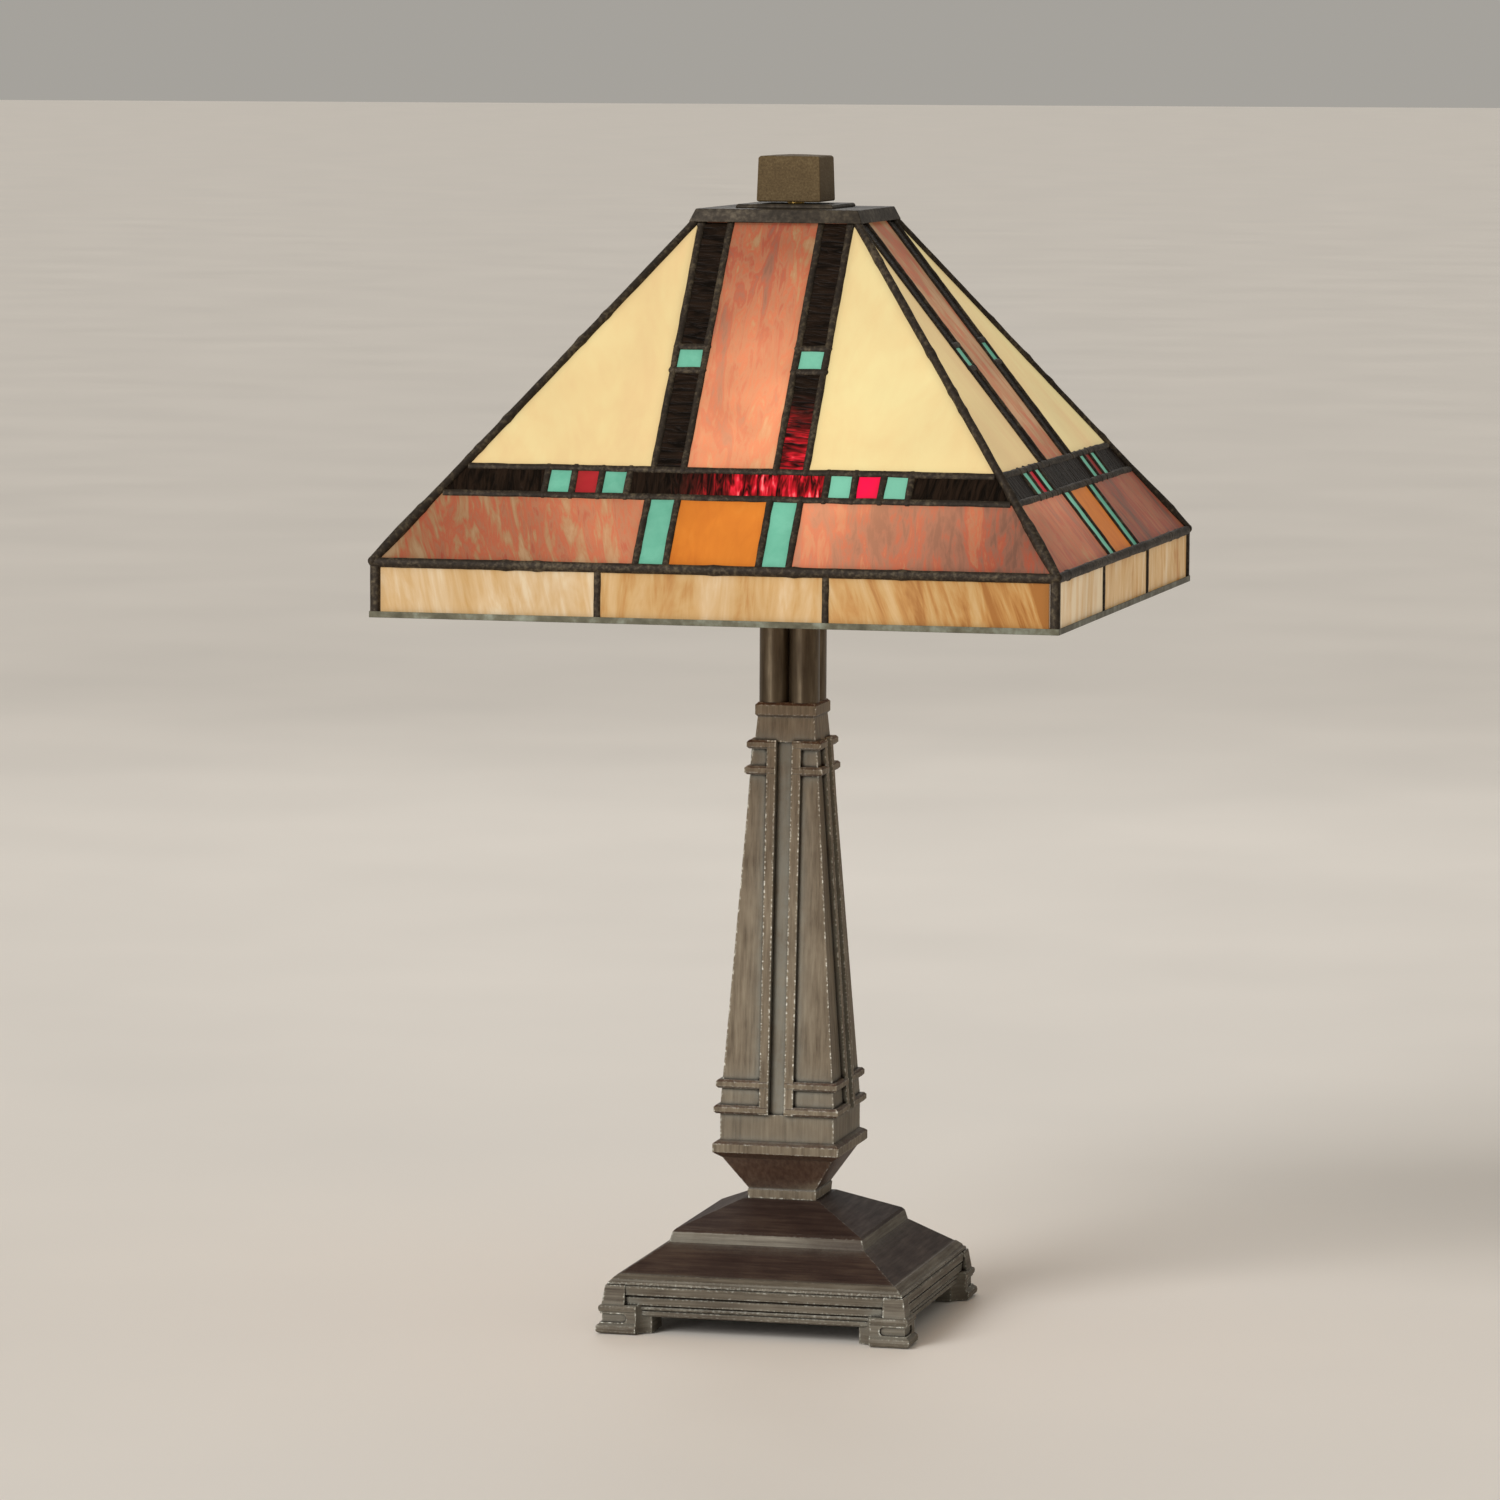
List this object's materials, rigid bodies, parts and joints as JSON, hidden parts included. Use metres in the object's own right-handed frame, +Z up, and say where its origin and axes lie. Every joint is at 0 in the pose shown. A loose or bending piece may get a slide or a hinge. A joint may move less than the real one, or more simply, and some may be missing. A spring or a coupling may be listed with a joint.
{
  "type": "table lamp",
  "caption": "Table lamp: square leaded stained glass shade with an apron, hung from a riser rod over tilted sockets, on a tapered column and footed base.",
  "frame": {"origin": "on the table under the middle of the lamp", "axes": "+Z up, front is -Y, the cord inlet is at the back, +Y"},
  "size_m": [0.359, 0.359, 0.613],
  "materials": {
    "cream_glass": "streaky opalescent cream sheet glass",
    "rose_glass": "mottled rose and brown opalescent glass",
    "ruby_glass": "dark rippled ruby glass, red where lit",
    "teal_glass": "plain turquoise opalescent glass",
    "red_glass": "translucent red glass",
    "amber_glass": "amber opalescent glass",
    "apron_glass": "caramel and cream streaked glass",
    "solder": "dark bronze patina on solder",
    "dark_bronze": "satin olive bronze",
    "satin_bronze": "satin dark bronze",
    "cast_bronze": "fine-grained antique bronze with rubbed edges",
    "brass": "plain brass",
    "black_metal": "black painted sheet",
    "rubber": "matt",
    "black_plastic": "matt black",
    "bulb_cap": "bare metal screw cap",
    "bulb_glass": "frosted, lit"
  },
  "bodies": {
    "stand": {"base": "cast_bronze", "base_cover": "black_metal", "foot_pads": "rubber", "cord_bushing": "black_plastic", "column": "cast_bronze", "lamp_pipe": "brass", "pipe_nuts": "brass", "neck_sleeve": "satin_bronze", "neck_cap": "satin_bronze", "cluster_body": "dark_bronze", "riser_rod": "brass", "seat_nut": "brass", "front_socket_shell": "brass", "back_socket_shell": "brass", "front_socket_liner": "black_plastic", "back_socket_liner": "black_plastic"},
    "seat_washer": {"seat_washer": "brass"},
    "shade": {"front_lattice": "solder", "right_lattice": "solder", "back_lattice": "solder", "left_lattice": "solder", "front_apron_lattice": "solder", "right_apron_lattice": "solder", "back_apron_lattice": "solder", "left_apron_lattice": "solder", "front_cream_panes": "cream_glass", "right_cream_panes": "cream_glass", "back_cream_panes": "cream_glass", "left_cream_panes": "cream_glass", "front_rose_panes": "rose_glass", "right_rose_panes": "rose_glass", "back_rose_panes": "rose_glass", "left_rose_panes": "rose_glass", "front_ruby_panes": "ruby_glass", "right_ruby_panes": "ruby_glass", "back_ruby_panes": "ruby_glass", "left_ruby_panes": "ruby_glass", "front_teal_tiles": "teal_glass", "right_teal_tiles": "teal_glass", "back_teal_tiles": "teal_glass", "left_teal_tiles": "teal_glass", "front_apron_panes": "apron_glass", "right_apron_panes": "apron_glass", "back_apron_panes": "apron_glass", "left_apron_panes": "apron_glass", "red_tiles": "red_glass", "amber_panes": "amber_glass", "seam_beads": "solder", "rim_channel": "solder", "top_frame": "solder", "cap_skirt": "dark_bronze", "cap_plate": "dark_bronze"},
    "finial_bush": {"finial_bush": "brass"},
    "finial": {"finial": "dark_bronze"},
    "front_bulb_cap": {"front_bulb_base": "bulb_cap"},
    "front_bulb": {"front_bulb_glass": "bulb_glass"},
    "back_bulb_cap": {"back_bulb_base": "bulb_cap"},
    "back_bulb": {"back_bulb_glass": "bulb_glass"},
    "front_knob": {"front_switch_knob": "black_plastic"},
    "back_knob": {"back_switch_knob": "black_plastic"}
  },
  "joints": [
    {"name": "shade_turn", "type": "hinge", "parent": "stand", "child": "seat_washer", "pos_m": [0, 0, 0.5712], "axis": [0, 0, 1], "continuous": true},
    {"name": "shade_lift", "type": "slide", "parent": "seat_washer", "child": "shade", "axis": [0, 0, 1], "range_m": [0, 0.06]},
    {"name": "finial_climb", "type": "slide", "parent": "shade", "child": "finial_bush", "axis": [0, 0, 1], "range_m": [0, 0.0075]},
    {"name": "finial_turn", "type": "hinge", "parent": "finial_bush", "child": "finial", "pos_m": [0, 0, 0.598], "axis": [0, 0, 1], "range_deg": [0, 2880]},
    {"name": "front_bulb_out", "type": "slide", "parent": "stand", "child": "front_bulb_cap", "axis": [0.2823, -0.8688, 0.4067], "range_m": [0, 0.0239]},
    {"name": "front_bulb_turn", "type": "hinge", "parent": "front_bulb_cap", "child": "front_bulb", "pos_m": [0.02823, -0.08688, 0.42767], "axis": [0.2823, -0.8688, 0.4067], "range_deg": [0, 2376]},
    {"name": "back_bulb_out", "type": "slide", "parent": "stand", "child": "back_bulb_cap", "axis": [-0.2823, 0.8688, 0.4067], "range_m": [0, 0.0239]},
    {"name": "back_bulb_turn", "type": "hinge", "parent": "back_bulb_cap", "child": "back_bulb", "pos_m": [-0.02823, 0.08688, 0.42767], "axis": [-0.2823, 0.8688, 0.4067], "range_deg": [0, 2376]},
    {"name": "front_switch", "type": "hinge", "parent": "stand", "child": "front_knob", "pos_m": [0.00607, -0.01868, 0.39575], "axis": [0.9511, 0.309, 0], "continuous": true},
    {"name": "back_switch", "type": "hinge", "parent": "stand", "child": "back_knob", "pos_m": [-0.00607, 0.01868, 0.39575], "axis": [-0.9511, -0.309, 0], "continuous": true}
  ],
  "couplings": [
    {"joint": "finial_turn", "follows": "finial_climb", "rad_per_m": 6679.3},
    {"joint": "front_bulb_turn", "follows": "front_bulb_out", "rad_per_m": 1731.6},
    {"joint": "back_bulb_turn", "follows": "back_bulb_out", "rad_per_m": 1731.6}
  ]
}
